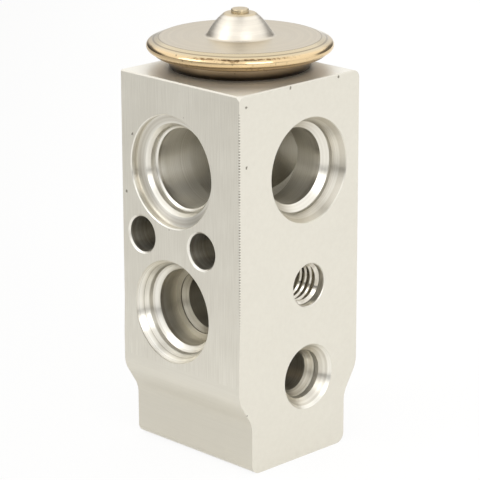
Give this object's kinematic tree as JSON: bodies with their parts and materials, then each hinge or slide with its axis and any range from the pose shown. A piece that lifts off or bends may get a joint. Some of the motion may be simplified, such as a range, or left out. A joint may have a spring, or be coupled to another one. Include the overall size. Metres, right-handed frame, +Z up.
{
  "type": "thermostatic expansion valve",
  "caption": "Block-type thermostatic expansion valve: aluminium block with right-angle ports, sealed steel power head, sensing rod, ball valve and adjusting screw",
  "frame": {"origin": "where the valve's vertical axis meets the block's bottom face", "axes": "+Z up along the valve axis to the power head; -Y out of the evaporator ports; +X out of the pipe ports"},
  "size_m": [0.0342, 0.0344, 0.0803],
  "materials": {
    "block_aluminium": "milled and drilled, satin",
    "cover_steel": "spun, semi-gloss",
    "skirt_steel": "drawn, bronze heat tint",
    "plug_steel": "welded, tan heat tint",
    "spring_steel": "bright",
    "pin_steel": "ground and polished",
    "rod_aluminium": "turned",
    "holder_brass": "turned",
    "seal_rubber": "matte black"
  },
  "bodies": {
    "block": {"valve_body": "block_aluminium", "upper_cover": "cover_steel", "charge_plug": "plug_steel", "diaphragm": "spring_steel", "lower_cover": "skirt_steel", "head_seal": "seal_rubber", "rod_seal": "seal_rubber", "seal_retainer": "spring_steel"},
    "stack": {"stopper_plate": "spring_steel", "sensing_rod": "rod_aluminium", "push_pin": "pin_steel", "valve_ball": "pin_steel", "ball_holder": "holder_brass", "damper_spring": "spring_steel"},
    "adjuster_carrier": {"screw_seal": "seal_rubber", "bias_spring": "spring_steel"},
    "adjuster": {"adjusting_screw": "holder_brass"}
  },
  "joints": [
    {"name": "valve_lift", "type": "slide", "parent": "block", "child": "stack", "axis": [0, 0, -1], "range_m": [0, 0.0006], "stiffness_N_per_m": 3000, "deforming": ["bias_spring", "diaphragm"]},
    {"name": "adjuster_advance", "type": "slide", "parent": "block", "child": "adjuster_carrier", "axis": [0, 0, 1], "range_m": [-0.0005, 0.0005], "deforming": ["bias_spring"]},
    {"name": "adjuster_turn", "type": "hinge", "parent": "adjuster_carrier", "child": "adjuster", "pos_m": [0, 0, 0], "axis": [0, 0, 1], "range_deg": [-180, 180]}
  ],
  "couplings": [
    {"joint": "adjuster_turn", "follows": "adjuster_advance", "rad_per_m": 6283.2}
  ]
}
